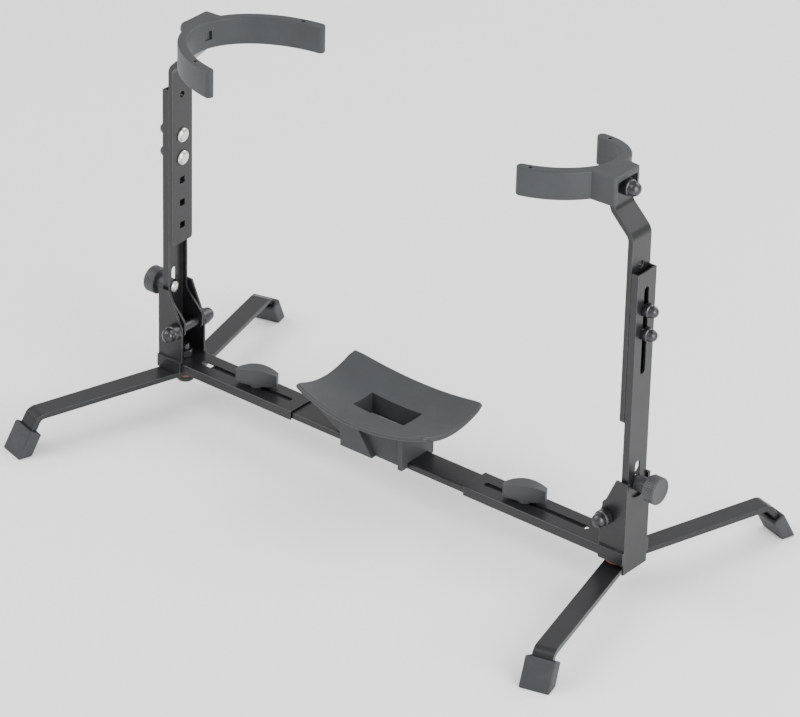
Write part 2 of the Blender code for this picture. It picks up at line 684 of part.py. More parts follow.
def leg_pivot(side, turn, axis):
    upper_top = UPPER_LEG_Z + LEG_THICKNESS / 2
    place = turn @ Matrix.Translation((LEG_PIVOT_X, 0, 0))
    low = LOWER_LEG_Z - LEG_THICKNESS / 2 - GAP
    bolt = turned([(0, 0.061), (M8, 0.061), (M8, low), (0.0085, low), (0.0078, low - 0.002),
                   (0.005, low - 0.0034), (0, low - 0.004)], place)
    keep(bolt, side + "_leg_bolt", "dark_steel", axis)
    seat = CHANNEL_TOP + GAP
    hexagon = [(0.0075 * math.cos(math.radians(a)), 0.0075 * math.sin(math.radians(a)))
               for a in range(0, 360, 60)]
    hole = [(M8_HOLE * math.cos(math.radians(a)), M8_HOLE * math.sin(math.radians(a)))
            for a in range(0, 360, 20)]
    keep(plate([hexagon, hole], "Z", seat, seat + 0.0065, place), side + "_leg_nut", "dark_steel", axis)
    between = (UPPER_LEG_Z + LOWER_LEG_Z) / 2
    washers = {"top": (upper_top + GAP, CHANNEL_BOTTOM - GAP), "mid": (between - 0.0005, between + 0.0005)}
    for name, (bottom, top) in washers.items():
        ring = turned([(WASHER, top), (WASHER, bottom), (M8_HOLE, bottom), (M8_HOLE, top)], place,
                      closed=True, steps=24)
        keep(ring, side + "_leg_washer_" + name, "red_fibre", axis)


def tower_parts(side, tower):
    turn = tower["turn"]
    raised = tower["raised"]
    slide_axis = joint_axis(side + "_extension_axis", turn @ Vector((WEB_FACE, 0, CHANNEL_TOP)))
    fold_axis = joint_axis(side + "_fold_axis", turn @ Vector((PIN_X, 0, PIN_Z)))
    height_axis = joint_axis(side + "_height_axis", turn @ Vector((WEB_FACE, 0, TOP_HOLE_Z + raised)))
    wing_knob(side, tower, turn)
    end_channel(side, tower, turn, slide_axis)
    bracket(side, turn, slide_axis)
    fold_hinge(side, turn, slide_axis)
    leg_pivot(side, turn, slide_axis)
    lower_upright(side, turn, fold_axis)
    lock(side, turn)
    upper_upright(side, raised, turn, height_axis)
    yoke(side, tower, turn, height_axis)
    leg(side, tower, "upper")
    leg(side, tower, "lower")


clear_scene()
stand = new_collection("instrument_stand")
cutters = new_collection("cutters")
centre_bar()
saddle(joint_axis("saddle_axis", (SADDLE_MIDDLE, 0, BAR_TOP)))
for tower_side, tower_design in TOWERS.items():
    tower_parts(tower_side, tower_design)
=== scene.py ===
"""Looks for the folding instrument stand: its finished pieces, materials, lights and camera.

Metres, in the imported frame.  Towers are described in the left tower's coordinates, where +X points
inward; the right tower is the same turned half a turn about Z.
"""
import json
import math

import bmesh
import bpy
from mathutils import Matrix, Vector


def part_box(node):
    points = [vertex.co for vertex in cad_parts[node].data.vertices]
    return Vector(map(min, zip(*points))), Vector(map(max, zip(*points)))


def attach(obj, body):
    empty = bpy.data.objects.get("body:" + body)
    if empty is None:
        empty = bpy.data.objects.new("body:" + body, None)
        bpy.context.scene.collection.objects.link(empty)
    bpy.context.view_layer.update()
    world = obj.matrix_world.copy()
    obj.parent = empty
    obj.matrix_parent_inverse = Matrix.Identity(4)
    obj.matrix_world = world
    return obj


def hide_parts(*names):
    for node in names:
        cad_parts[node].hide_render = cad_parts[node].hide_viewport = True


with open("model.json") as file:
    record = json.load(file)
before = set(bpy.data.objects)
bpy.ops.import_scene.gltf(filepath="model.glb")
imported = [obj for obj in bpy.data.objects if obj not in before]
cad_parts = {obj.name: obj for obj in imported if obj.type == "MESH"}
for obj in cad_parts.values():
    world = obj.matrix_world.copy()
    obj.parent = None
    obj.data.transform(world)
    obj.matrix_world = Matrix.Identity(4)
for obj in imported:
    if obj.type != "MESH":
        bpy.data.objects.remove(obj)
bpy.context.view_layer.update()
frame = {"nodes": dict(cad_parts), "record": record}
record = frame["record"]
BODY_OF = {node: body for body, nodes in record["behaviour"]["bodies"].items() for node in nodes}
SLOT_OF = {row["node"]: row["material_slot"] for row in record["subparts"]}
HALF_TURN = Matrix.Rotation(math.pi, 4, "Z")
TURN = {"left": Matrix(), "right": HALF_TURN}
OUTWARD = {"left": Vector((-1, 0, 0)), "right": Vector((1, 0, 0))}

# holders: the inner face is an ellipse in the holder's own coordinates, X inward from its origin
YOKE_ORIGIN_X = -0.240
YOKES = {
    "left": {
        "middle": (0.1049, -0.0041), "axes": (0.0909, 0.0631), "turned": math.radians(7.6),
        "thickness": 0.0086, "arc": (math.radians(91), math.radians(248)),
        "holes": (math.radians(101.6), math.radians(235)),
    },
    "right": {
        "middle": (0.0701, 0.0058), "axes": (0.0548, 0.0336), "turned": math.radians(34),
        "thickness": 0.010, "arc": (math.radians(64), math.radians(230)),
        "holes": (math.radians(71), math.radians(222)),
    },
}
YOKE_ROUNDING = 0.0013
BACK_X = -0.002
BACK_HALF_WIDTH = 0.018
BACK_CORNER = 0.003
RECESS_DROP = 0.0052

# saddle
SADDLE_MIDDLE = -0.009
SADDLE_HALF_LENGTH = 0.075
SADDLE_HALF_WIDTH = 0.049
SADDLE_LOW = 0.080
SADDLE_THICKNESS = 0.0047
SADDLE_BODY = (-0.046, 0.0205)
SADDLE_BODY_HALF_WIDTH = 0.0172
SADDLE_RIB_HALF_WIDTH = 0.023
SADDLE_FLOOR = 0.0405
SADDLE_JOIN = 0.0804
WELL = (-0.0395, 0.019)
WELL_HALF_WIDTH = 0.014
BAR_TOP = 0.0462

GAP = 0.0003

# hardware
M6 = 0.003
M6_HOLE = 0.0033
M8 = 0.004
M8_HOLE = 0.0043
BLIND_BORE = 0.0056
THREAD_PITCH = 0.0010
THREAD_DEPTH = 0.00045
LEG_NUT_RADIUS = 0.0075
LOCK_KNOB_RADIUS = 0.01265
LOCK_KNOB_HEAD = 0.0137
WING_ANGLE = math.radians(23)
WING_BORE = 0.0137


# ---------------------------------------------------------------- materials

class Nodes:
    """Short ways to build one material's node tree."""

    def __init__(self, name, colour, metallic, roughness, specular=0.5):
        self.material = bpy.data.materials.new(name)
        self.material.use_nodes = True
        self.tree = self.material.node_tree
        self.shader = self.tree.nodes["Principled BSDF"]
        self.shader.inputs["Base Color"].default_value = (*colour, 1.0)
        self.shader.inputs["Metallic"].default_value = metallic
        self.shader.inputs["Roughness"].default_value = roughness
        self.shader.inputs["Specular IOR Level"].default_value = specular
        self.where = self.new("ShaderNodeTexCoord").outputs["Object"]

    def new(self, kind):
        return self.tree.nodes.new(kind)

    def link(self, source, target):
        self.tree.links.new(source, target)

    def noise(self, scale, detail=4.0, roughness=0.55, stretch=None):
        node = self.new("ShaderNodeTexNoise")
        node.inputs["Scale"].default_value = scale
        node.inputs["Detail"].default_value = detail
        node.inputs["Roughness"].default_value = roughness
        place = self.where
        if stretch:
            mapping = self.new("ShaderNodeMapping")
            mapping.inputs["Scale"].default_value = stretch
            self.link(self.where, mapping.inputs["Vector"])
            place = mapping.outputs["Vector"]
        self.link(place, node.inputs["Vector"])
        return node.outputs["Fac"]

    def cells(self, scale, feature="F1"):
        node = self.new("ShaderNodeTexVoronoi")
        node.feature = feature
        node.inputs["Scale"].default_value = scale
        self.link(self.where, node.inputs["Vector"])
        return node.outputs["Distance"]

    def spread(self, source, low, high, start=0.0, end=1.0):
        """Maps source from start..end to low..high."""
        node = self.new("ShaderNodeMapRange")
        node.inputs["From Min"].default_value = start
        node.inputs["From Max"].default_value = end
        node.inputs["To Min"].default_value = low
        node.inputs["To Max"].default_value = high
        self.link(source, node.inputs["Value"])
        return node.outputs["Result"]

    def math(self, operation, first, second):
        node = self.new("ShaderNodeMath")
        node.operation = operation
        for socket, value in zip(node.inputs, (first, second)):
            if isinstance(value, float):
                socket.default_value = value
            else:
                self.link(value, socket)
        return node.outputs["Value"]

    def blend(self, amount, first, second):
        """A colour between two; each is a colour or the output of another blend."""
        node = self.new("ShaderNodeMix")
        node.data_type = "RGBA"
        self.link(amount, node.inputs["Factor"])
        colours = [socket for socket in node.inputs if socket.type == "RGBA"]
        for socket, value in zip(colours, (first, second)):
            if isinstance(value, tuple):
                socket.default_value = (*value, 1.0)
            else:
                self.link(value, socket)
        return [socket for socket in node.outputs if socket.type == "RGBA"][0]

    def edges(self, radius, start=0.90, end=0.995):
        """1 on edges sharper than the radius, 0 on open surface."""
        bevel = self.new("ShaderNodeBevel")
        bevel.samples = 4
        bevel.inputs["Radius"].default_value = radius
        geometry = self.new("ShaderNodeNewGeometry")
        dot = self.new("ShaderNodeVectorMath")
        dot.operation = "DOT_PRODUCT"
        self.link(bevel.outputs["Normal"], dot.inputs[0])
        self.link(geometry.outputs["Normal"], dot.inputs[1])
        return self.spread(dot.outputs["Value"], 1.0, 0.0, start, end)

    def bump(self, height, strength, distance, below=None):
        node = self.new("ShaderNodeBump")
        node.inputs["Strength"].default_value = strength
        node.inputs["Distance"].default_value = distance
        self.link(height, node.inputs["Height"])
        if below is not None:
            self.link(below, node.inputs["Normal"])
        self.link(node.outputs["Normal"], self.shader.inputs["Normal"])
        return node.outputs["Normal"]

    def set(self, socket, source):
        self.link(source, self.shader.inputs[socket])


def powder_coat():
    """Satin black powder coat: fine orange peel, faint dust, and slightly paler edges that are partly wear
    and partly a painted highlight.
    """
    n = Nodes("powder_coat", (0.010, 0.0105, 0.0115), 0.0, 0.30, specular=0.38)
    cloud = n.noise(22.0)
    base = n.blend(cloud, (0.007, 0.0075, 0.0083), (0.014, 0.0145, 0.0155))
    # worn: paler colour along the edges, partly worn paint and partly a painted highlight on every edge
    worn = n.math("MULTIPLY", n.edges(0.0008), n.spread(n.noise(160.0), 0.1, 0.7, 0.30, 0.75))
    n.set("Base Color", n.blend(worn, base, (0.15, 0.153, 0.158)))
    n.set("Roughness", n.spread(n.noise(60.0), 0.25, 0.37))
    peel = n.bump(n.noise(700.0, detail=2.0), 0.16, 0.0002)
    n.bump(n.noise(2600.0, detail=1.0), 0.06, 0.0001, below=peel)
    return n.material


def moulded(name, dark, light, roughness, grain):
    """Moulded plastic with a spark-eroded grain and slightly paler edges, a painted highlight."""
    n = Nodes(name, light, 0.0, roughness[0], specular=0.36)
    mottle = n.noise(35.0, detail=5.0)
    base = n.blend(mottle, dark, light)
    # paler colour along the edges: a painted highlight, broken up by noise
    highlight_colour = tuple(channel * 2.2 for channel in light)
    rim = n.edges(0.0010, 0.86, 0.99)
    edge_highlight = n.math("MULTIPLY", rim, n.spread(n.noise(90.0), 0.25, 0.85, 0.3, 0.7))
    n.set("Base Color", n.blend(edge_highlight, base, highlight_colour))
    n.set("Roughness", n.spread(n.noise(420.0), roughness[0], roughness[1]))
    coarse = n.bump(n.cells(1500.0), grain, 0.00012)
    n.bump(n.noise(3200.0, detail=2.0), grain * 0.7, 0.00008, below=coarse)
    return n.material


def bright_zinc():
    """Bright zinc plate: fine directional polish and a few dull patches."""
    n = Nodes("bright_zinc", (0.66, 0.66, 0.64), 1.0, 0.22)
    n.set("Base Color", n.blend(n.noise(240.0), (0.60, 0.60, 0.57), (0.74, 0.74, 0.72)))
    n.set("Roughness", n.spread(n.noise(500.0, stretch=(1.0, 6.0, 6.0)), 0.16, 0.36))
    n.bump(n.noise(2200.0), 0.05, 0.0001)
    return n.material


def black_steel():
    """Black passivated steel hardware, worn to bare metal on its corners."""
    n = Nodes("black_steel", (0.05, 0.05, 0.054), 0.85, 0.34)
    worn = n.math("MULTIPLY", n.edges(0.0005), n.spread(n.noise(400.0), 0.1, 0.7, 0.35, 0.7))
    base = n.blend(n.noise(300.0), (0.035, 0.035, 0.038), (0.075, 0.075, 0.080))
    n.set("Base Color", n.blend(worn, base, (0.28, 0.28, 0.29)))
    n.set("Roughness", n.spread(n.noise(650.0), 0.26, 0.42))
    n.bump(n.noise(2400.0), 0.08, 0.0001)
    return n.material


def soft_rubber():
    """Matte black rubber with dust in its grain."""
    n = Nodes("soft_rubber", (0.024, 0.025, 0.027), 0.0, 0.62, specular=0.38)
    dust = n.spread(n.noise(55.0, detail=6.0), 0.0, 0.55, 0.45, 0.85)
    n.set("Base Color", n.blend(dust, (0.026, 0.028, 0.031), (0.060, 0.063, 0.068)))
    n.set("Roughness", n.spread(n.noise(300.0), 0.52, 0.74))
    n.bump(n.noise(1500.0, detail=3.0), 0.22, 0.0002)
    return n.material


def red_fibre():
    """Pressed vulcanised fibre: dull brown-red with fine layered streaks."""
    n = Nodes("red_fibre", (0.36, 0.10, 0.055), 0.0, 0.68)
    streaks = n.noise(900.0, stretch=(1.0, 1.0, 7.0))
    n.set("Base Color", n.blend(streaks, (0.26, 0.065, 0.035), (0.46, 0.15, 0.08)))
    n.set("Roughness", n.spread(n.noise(700.0), 0.58, 0.82))
    n.bump(streaks, 0.25, 0.0001)
    return n.material


def speckled_foam():
    """Grey closed-cell foam with dark specks and open pores."""
    n = Nodes("speckled_foam", (0.34, 0.34, 0.34), 0.0, 0.95, specular=0.2)
    specks = n.spread(n.cells(900.0), 1.0, 0.0, 0.10, 0.30)
    base = n.blend(n.noise(260.0), (0.15, 0.15, 0.153), (0.29, 0.29, 0.287))
    n.set("Base Color", n.blend(specks, base, (0.05, 0.05, 0.054)))
    n.set("Roughness", n.spread(n.noise(500.0), 0.88, 1.0))
    n.bump(n.cells(1300.0), 0.8, 0.0005)
    return n.material


MATERIALS = {
    "black_paint": powder_coat(),
    "grey_plastic": moulded(
        "slate_plastic", dark=(0.024, 0.0265, 0.028), light=(0.043, 0.0465, 0.049),
        roughness=(0.44, 0.60), grain=0.38),
    "black_plastic": moulded(
        "knob_plastic", dark=(0.028, 0.0295, 0.031), light=(0.046, 0.048, 0.051),
        roughness=(0.40, 0.54), grain=0.26),
    "zinc": bright_zinc(),
    "dark_steel": black_steel(),
    "rubber": soft_rubber(),
    "red_fibre": red_fibre(),
    "foam": speckled_foam(),
}


# ---------------------------------------------------------------- shapes

def link(mesh, name, place=Matrix()):
    piece = bpy.data.objects.new(name, mesh)
    piece.matrix_world = place
    bpy.context.scene.collection.objects.link(piece)
    return piece


def applied(piece):
    """The piece with its modifiers made real, as a new plain mesh object in the same place."""
    graph = bpy.context.evaluated_depsgraph_get()
    mesh = bpy.data.meshes.new_from_object(piece.evaluated_get(graph))
    result = link(mesh, piece.name + ".done", piece.matrix_basis.copy())
    name = piece.name
    bpy.data.objects.remove(piece)
    result.name = name
    return result


def smooth(piece, angle=35.0):
    mesh = piece.data
    mesh.shade_smooth()
    mesh.set_sharp_from_angle(angle=math.radians(angle))


def soften(piece, width, segments=3, angle=40.0):
    """Rounds the piece's sharp edges."""
    bevel = piece.modifiers.new("Bevel", "BEVEL")
    bevel.width = width
    bevel.segments = segments
    bevel.limit_method = "ANGLE"
    bevel.angle_limit = math.radians(angle)
    bevel.use_clamp_overlap = True
    return applied(piece)


def finish(piece, *nodes, sharp=50.0):
    """Makes a piece stand in for CAD nodes: parented to their body, given the material of their slot, with
    the nodes hidden.
    """
    smooth(piece, sharp)
    weighted = piece.modifiers.new("Weighted", "WEIGHTED_NORMAL")
    weighted.keep_sharp = True
    piece = applied(piece)
    piece.data.materials.clear()
    piece.data.materials.append(MATERIALS[SLOT_OF[nodes[0]]])
    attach(piece, BODY_OF[nodes[0]])
    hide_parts(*nodes)
    return piece


def node_copy(node):
    """A CAD node's shape as a clean mesh whose flat faces are single faces."""
    source = frame["nodes"][node].data
    shape = bmesh.new()
    corners = [shape.verts.new(vertex.co) for vertex in source.vertices]
    for polygon in source.polygons:
        try:
            shape.faces.new([corners[i] for i in polygon.vertices])
        except ValueError:
            continue
    bmesh.ops.remove_doubles(shape, verts=shape.verts, dist=0.00001)
    bmesh.ops.dissolve_limit(shape, angle_limit=math.radians(1.0), verts=shape.verts, edges=shape.edges)
    mesh = bpy.data.meshes.new(node + "_finished")
    shape.to_mesh(mesh)
    shape.free()
    return link(mesh, node + "_finished")


def combine(piece, tool, operation):
    modifier = piece.modifiers.new("Boolean", "BOOLEAN")
    modifier.operation = operation
    modifier.object = tool
    result = applied(piece)
    bpy.data.objects.remove(tool)
    return result


def block(low, high, place=Matrix()):
    shape = bmesh.new()
    bmesh.ops.create_cube(shape, size=1.0)
    size = Vector(high) - Vector(low)
    middle = (Vector(high) + Vector(low)) / 2
    scale = Matrix.Diagonal((*size, 1.0))
    bmesh.ops.transform(shape, matrix=Matrix.Translation(middle) @ scale, verts=shape.verts)
    mesh = bpy.data.meshes.new("block")
    shape.to_mesh(mesh)
    shape.free()
    return link(mesh, "block", place)


def rod(radius, start, end, place=Matrix(), steps=32):
    run = Vector(end) - Vector(start)
    shape = bmesh.new()
    bmesh.ops.create_cone(shape, cap_ends=True, segments=steps, radius1=radius, radius2=radius,
                          depth=run.length)
    aim = run.to_track_quat("Z", "Y").to_matrix().to_4x4()
    middle = Matrix.Translation((Vector(start) + Vector(end)) / 2)
    bmesh.ops.transform(shape, matrix=middle @ aim, verts=shape.verts)
    mesh = bpy.data.meshes.new("rod")
    shape.to_mesh(mesh)
    shape.free()
    return link(mesh, "rod", place)


def turned(name, profile, place, closed=False, steps=48):
    """A (radius, height) profile, outer side from the top down, turned about the place's Z."""
    mesh = bpy.data.meshes.new(name)
    edges = [(i, i + 1) for i in range(len(profile) - 1)]
    if closed:
        edges.append((len(profile) - 1, 0))
    mesh.from_pydata([(radius, 0.0, height) for radius, height in profile], edges, [])
    piece = link(mesh, name, place)
    screw = piece.modifiers.new("Screw", "SCREW")
    screw.steps = steps
    screw.render_steps = steps
    screw.use_merge_vertices = True
    screw.merge_threshold = 0.00002
    return applied(piece)


def plate(outline, low, high, place=Matrix(), rounding=0.0, holes=(), name="plate"):
    """A flat outline made thick from low to high along the place's Z, its rims rounded."""
    curve = bpy.data.curves.new(name, "CURVE")
    curve.dimensions = "2D"
    curve.fill_mode = "BOTH"
    curve.extrude = (high - low) / 2 - rounding
    curve.bevel_depth = rounding
    curve.bevel_resolution = 3
    curve.offset = -rounding
    for points in (outline, *holes):
        spline = curve.splines.new("POLY")
        spline.points.add(len(points) - 1)
        spline.use_cyclic_u = True
        for point, (x, y) in zip(spline.points, points):
            point.co = (x, y, 0.0, 1.0)
    guide = bpy.data.objects.new(name, curve)
    guide.matrix_world = place @ Matrix.Translation((0, 0, (low + high) / 2))
    bpy.context.scene.collection.objects.link(guide)
    piece = applied(guide)
    shape = bmesh.new()
    shape.from_mesh(piece.data)
    bmesh.ops.remove_doubles(shape, verts=shape.verts, dist=0.000005)
    shape.to_mesh(piece.data)
    shape.free()
    return piece


def arc(middle, radius, start, end, steps):
    """Points of an arc; angles in degrees."""
    points = []
    for step in range(steps + 1):
        angle = math.radians(start + (end - start) * step / steps)
        points.append((middle[0] + radius * math.cos(angle), middle[1] + radius * math.sin(angle)))
    return points


def node_place(node, direction):
    """A place on the node's axis at its base, whose Z runs along a direction, and its length."""
    low, high = (Vector(corner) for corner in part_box(node))
    direction = Vector(direction)
    middle = (low + high) / 2
    length = abs((high - low).dot(direction))
    aim = direction.to_track_quat("Z", "Y").to_matrix().to_4x4()
    return Matrix.Translation(middle - direction * length / 2) @ aim, length


# ---------------------------------------------------------------- steel

def painted_steel():
    """Powder-coated sheet and flat bar: the CAD shapes with their cut edges rolled over."""
    widths = {
        "end_channel": 0.0004, "bracket": 0.0005, "lower_upright": 0.0005, "upper_upright": 0.0008,
        "front_leg": 0.0012, "back_leg": 0.0012,
    }
    finish(soften(node_copy("centre_bar"), 0.0004, 2), "centre_bar")
    for side in TURN:
        for name, width in widths.items():
            node = f"{side}_{name}"
            finish(soften(node_copy(node), width, 3, 50.0), node)


# ---------------------------------------------------------------- hardware

def cap_nut(node, direction):
    """A domed cap nut: a round base with a softened rim, a neck and a polished dome."""
    place, length = node_place(node, direction)
    sizes = sorted(high - low for low, high in zip(*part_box(node)))
    radius = (sizes[0] if sizes[2] - sizes[1] > 0.0001 else sizes[1]) / 2 - 0.0001
    edge = 0.0006
    base = length * 0.45
    dome = radius * 0.84
    rise = 0.0055
    profile = []
    for step in range(11):
        angle = math.radians(9 * step)
        profile.append((dome * math.sin(angle), length - rise * (1 - math.cos(angle))))
    profile += [
        (dome, base + 0.0008), (dome + 0.0004, base), (radius - edge, base), (radius, base - edge),
        (radius, edge), (radius - edge, 0.0), (M6_HOLE, 0.0), (M6_HOLE, BLIND_BORE), (0.0, BLIND_BORE)]
    finish(turned(node + "_detailed", profile, place), node, sharp=30.0)


def carriage_bolt(node, direction, head_radius, rise, square=True):
    """A domed carriage bolt: spherical head with a thin rim, square neck and a threaded shank."""
    place, length = node_place(node, direction)
    profile = threaded_tip(length, M6, length * 0.35)
    profile += [(M6, rise)]
    for step in range(0, 11):
        angle = math.radians(9 * step)
        profile.append((head_radius * math.cos(angle), (rise - 0.0006) * (1 - math.sin(angle))))
    profile[-1] = (0.0, 0.0)
    profile.insert(len(profile) - 11, (head_radius, rise))
    bolt = turned(node + "_detailed", profile, place)
    if square:
        neck = block((-0.0031, -0.0031, rise - 0.0006), (0.0031, 0.0031, rise + 0.0048), place)
        bolt = combine(bolt, neck, "UNION")
    finish(bolt, node, sharp=30.0)


def threaded_tip(length, radius, thread):
    """A bolt's tip and thread as rings: (radius, height) points from the tip down."""
    points = [(0.0, length), (radius - 0.0008, length)]
    count = int(thread / THREAD_PITCH)
    for ring in range(count):
        top = length - 0.0006 - ring * THREAD_PITCH
        points.append((radius, top))
        points.append((radius - THREAD_DEPTH, top - THREAD_PITCH / 2))
    points.append((radius, length - 0.0006 - count * THREAD_PITCH))
    return points


def leg_bolt(side):
    node = side + "_leg_bolt"
    place, length = node_place(node, (0, 0, 1))
    profile = threaded_tip(length, M8, 0.014)
    profile += [(M8, 0.0037), (0.0085, 0.0037)]
    for step in range(0, 11):
        angle = math.radians(9 * step)
        profile.append((0.0085 * math.cos(angle), 0.0031 * (1 - math.sin(angle))))
    profile[-1] = (0.0, 0.0)
    finish(turned(node + "_detailed", profile, place), node, sharp=30.0)


def leg_nut(side):
    """A hexagon nut with chamfered corners."""
    node = side + "_leg_nut"
    place, length = node_place(node, (0, 0, 1))
    radius = LEG_NUT_RADIUS
    hexagon = [(radius * math.cos(math.radians(a)), radius * math.sin(math.radians(a)))
               for a in range(0, 360, 60)]
    nut = plate(hexagon, 0.0, length, place, name=node + "_detailed")
    chamfer = turned("chamfer", [
        (0, length), (0.0063, length), (radius, length - 0.0009), (radius, 0.0009), (0.0063, 0.0),
        (0, 0.0)], place)
    nut = combine(nut, chamfer, "INTERSECT")
    nut = combine(nut, rod(M8_HOLE, (0, 0, -0.001), (0, 0, length + 0.001), place), "DIFFERENCE")
    finish(soften(nut, 0.0002, 2, 30.0), node, sharp=30.0)


def washer(node, inner):
    place, length = node_place(node, (0, 0, 1))
    edge = 0.0002
    outer = (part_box(node)[1][0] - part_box(node)[0][0]) / 2
    profile = [(inner, length), (outer - edge, length), (outer, length - edge), (outer, edge),
               (outer - edge, 0.0), (inner, 0.0)]
    finish(turned(node + "_detailed", profile, place, closed=True, steps=72), node, sharp=30.0)


def hinge_pin(side):
    for name, radius in (("pivot_pin", M6), ("pivot_sleeve", 0.0045)):
        node = f"{side}_{name}"
        place, length = node_place(node, (0, 1, 0))
        edge = 0.0003
        profile = [(0.0, length), (radius - edge, length), (radius, length - edge), (radius, edge),
                   (radius - edge, 0.0), (0.0, 0.0)]
        closed = name == "pivot_sleeve"
        if closed:
            profile[0] = (M6_HOLE, length)
            profile[-1] = (M6_HOLE, 0.0)
        finish(turned(node + "_detailed", profile, place, closed=closed), node, sharp=30.0)


def lock_knob(side):
    """A round knob with a knurled rim, a shallow dished face and a smooth collar."""
    node = side + "_lock_knob"
    place, length = node_place(node, OUTWARD[side])
    ribs = 40
    outer = LOCK_KNOB_RADIUS
    groove = 0.0006
    rim = []
    for rib in range(ribs):
        for share, depth in ((0.0, 0.0), (0.35, 0.0), (0.55, groove), (0.8, groove)):
            radius = outer - depth
            angle = 2 * math.pi * (rib + share) / ribs
            rim.append((radius * math.cos(angle), radius * math.sin(angle)))
    head_start = LOCK_KNOB_HEAD
    head = plate(rim, head_start, length, place, name=node + "_detailed")
    form = turned("form", [
        (0, length - 0.0007), (0.0085, length - 0.0006), (0.0102, length - 0.0001), (0.0112, length),
        (0.0122, length - 0.0005), (0.0129, length - 0.0016), (0.0129, head_start + 0.0014),
        (0.0120, head_start + 0.0002), (0.0110, head_start - 0.001), (0, head_start - 0.001)], place)
    head = combine(head, form, "INTERSECT")
    collar = turned("collar", [
        (0, head_start + 0.004), (0.0075, head_start + 0.004), (0.0075, head_start), (0.0072, 0.0010),
        (0.0066, 0.0), (0, 0.0)], place)
    head = combine(head, collar, "UNION")
    head = combine(head, rod(M6_HOLE, (0, 0, -0.001), (0, 0, 0.0212), place), "DIFFERENCE")
    finish(head, node, sharp=35.0)


def wing_knob(side):
    """A lens-shaped wing with an arched top on a round hub."""
    node = side + "_wing_knob"
    low, high = (Vector(corner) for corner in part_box(node))
    middle = (low + high) / 2
    swing = Matrix.Rotation(WING_ANGLE, 4, "Z")
    place = Matrix.Translation((middle.x, middle.y, low.z)) @ TURN[side] @ swing
    height = high.z - low.z
    piece = plate(lens(0.0198, 0.0066, 0.0034, 14), 0.0, height, place, name=node + "_detailed")
    upright = place @ Matrix.Rotation(math.pi / 2, 4, "X")
    steps = 24
    side_view = []
    for step in range(steps + 1):
        along = 1 - 2 * step / steps
        side_view.append((0.021 * along, height - 0.0055 * along ** 2 - 0.0001))
    for step in range(steps + 1):
        along = 2 * step / steps - 1
        side_view.append((0.021 * along, 0.0021 + 0.0006 * along ** 2))
    piece = combine(piece, plate(side_view, -0.010, 0.010, upright), "INTERSECT")
    piece = soften(piece, 0.0009, 4, 30.0)
    hub = turned("hub", [
        (0, 0.0042), (0.0058, 0.0042), (0.0066, 0.0032), (0.0070, 0.0020), (0.0071, 0.0005),
        (0.0067, 0.0), (0, 0.0)], place)
    piece = combine(piece, hub, "UNION")
    piece = combine(piece, rod(M6_HOLE, (0, 0, -0.001), (0, 0, WING_BORE), place), "DIFFERENCE")
    finish(piece, node, sharp=35.0)


def lens(half_length, half_width, blunt, steps):
    """Two shallow arcs that meet at blunt, rounded ends."""
    outline = []
    for hand in (1, -1):
        for step in range(steps + 1):
            along = hand * (1 - 2 * step / steps)
            across = hand * (blunt + (half_width - blunt) * (1 - along ** 2))
            outline.append((half_length * along, across))
    return outline


# ---------------------------------------------------------------- holders

def ellipse_point(shape, grow, angle):
    along = (shape["axes"][0] + grow) * math.cos(angle)
    across = (shape["axes"][1] + grow) * math.sin(angle)
    return Matrix.Rotation(shape["turned"], 2) @ Vector((along, across)) + Vector(shape["middle"])


def tip(start, end, steps=14):
    centre = (start + end) / 2
    return [centre + Matrix.Rotation(math.pi * step / steps, 2) @ (start - centre)
            for step in range(1, steps)]


def yoke_outline(shape, steps=110):
    first, last = shape["arc"]
    angles = [first + (last - first) * step / steps for step in range(steps + 1)]
    outer = [ellipse_point(shape, shape["thickness"], angle) for angle in angles]
    inner = [ellipse_point(shape, 0.0, angle) for angle in reversed(angles)]
    at_back = [abs(point.y) < BACK_HALF_WIDTH and point.x < 0.045 for point in outer]
    start = at_back.index(True)
    end = len(at_back) - at_back[::-1].index(True)
    outer = outer[:start] + square_back() + outer[end:]
    return outer + tip(outer[-1], inner[0]) + inner + tip(inner[-1], outer[0])


def square_back():
    """The two rounded corners of the block behind the band."""
    points = []
    for hand, start in ((1, 90), (-1, 180)):
        middle = (BACK_X + BACK_CORNER, hand * (BACK_HALF_WIDTH - BACK_CORNER))
        points += [Vector(point) for point in arc(middle, BACK_CORNER, start, start + 90, 6)]
    return points


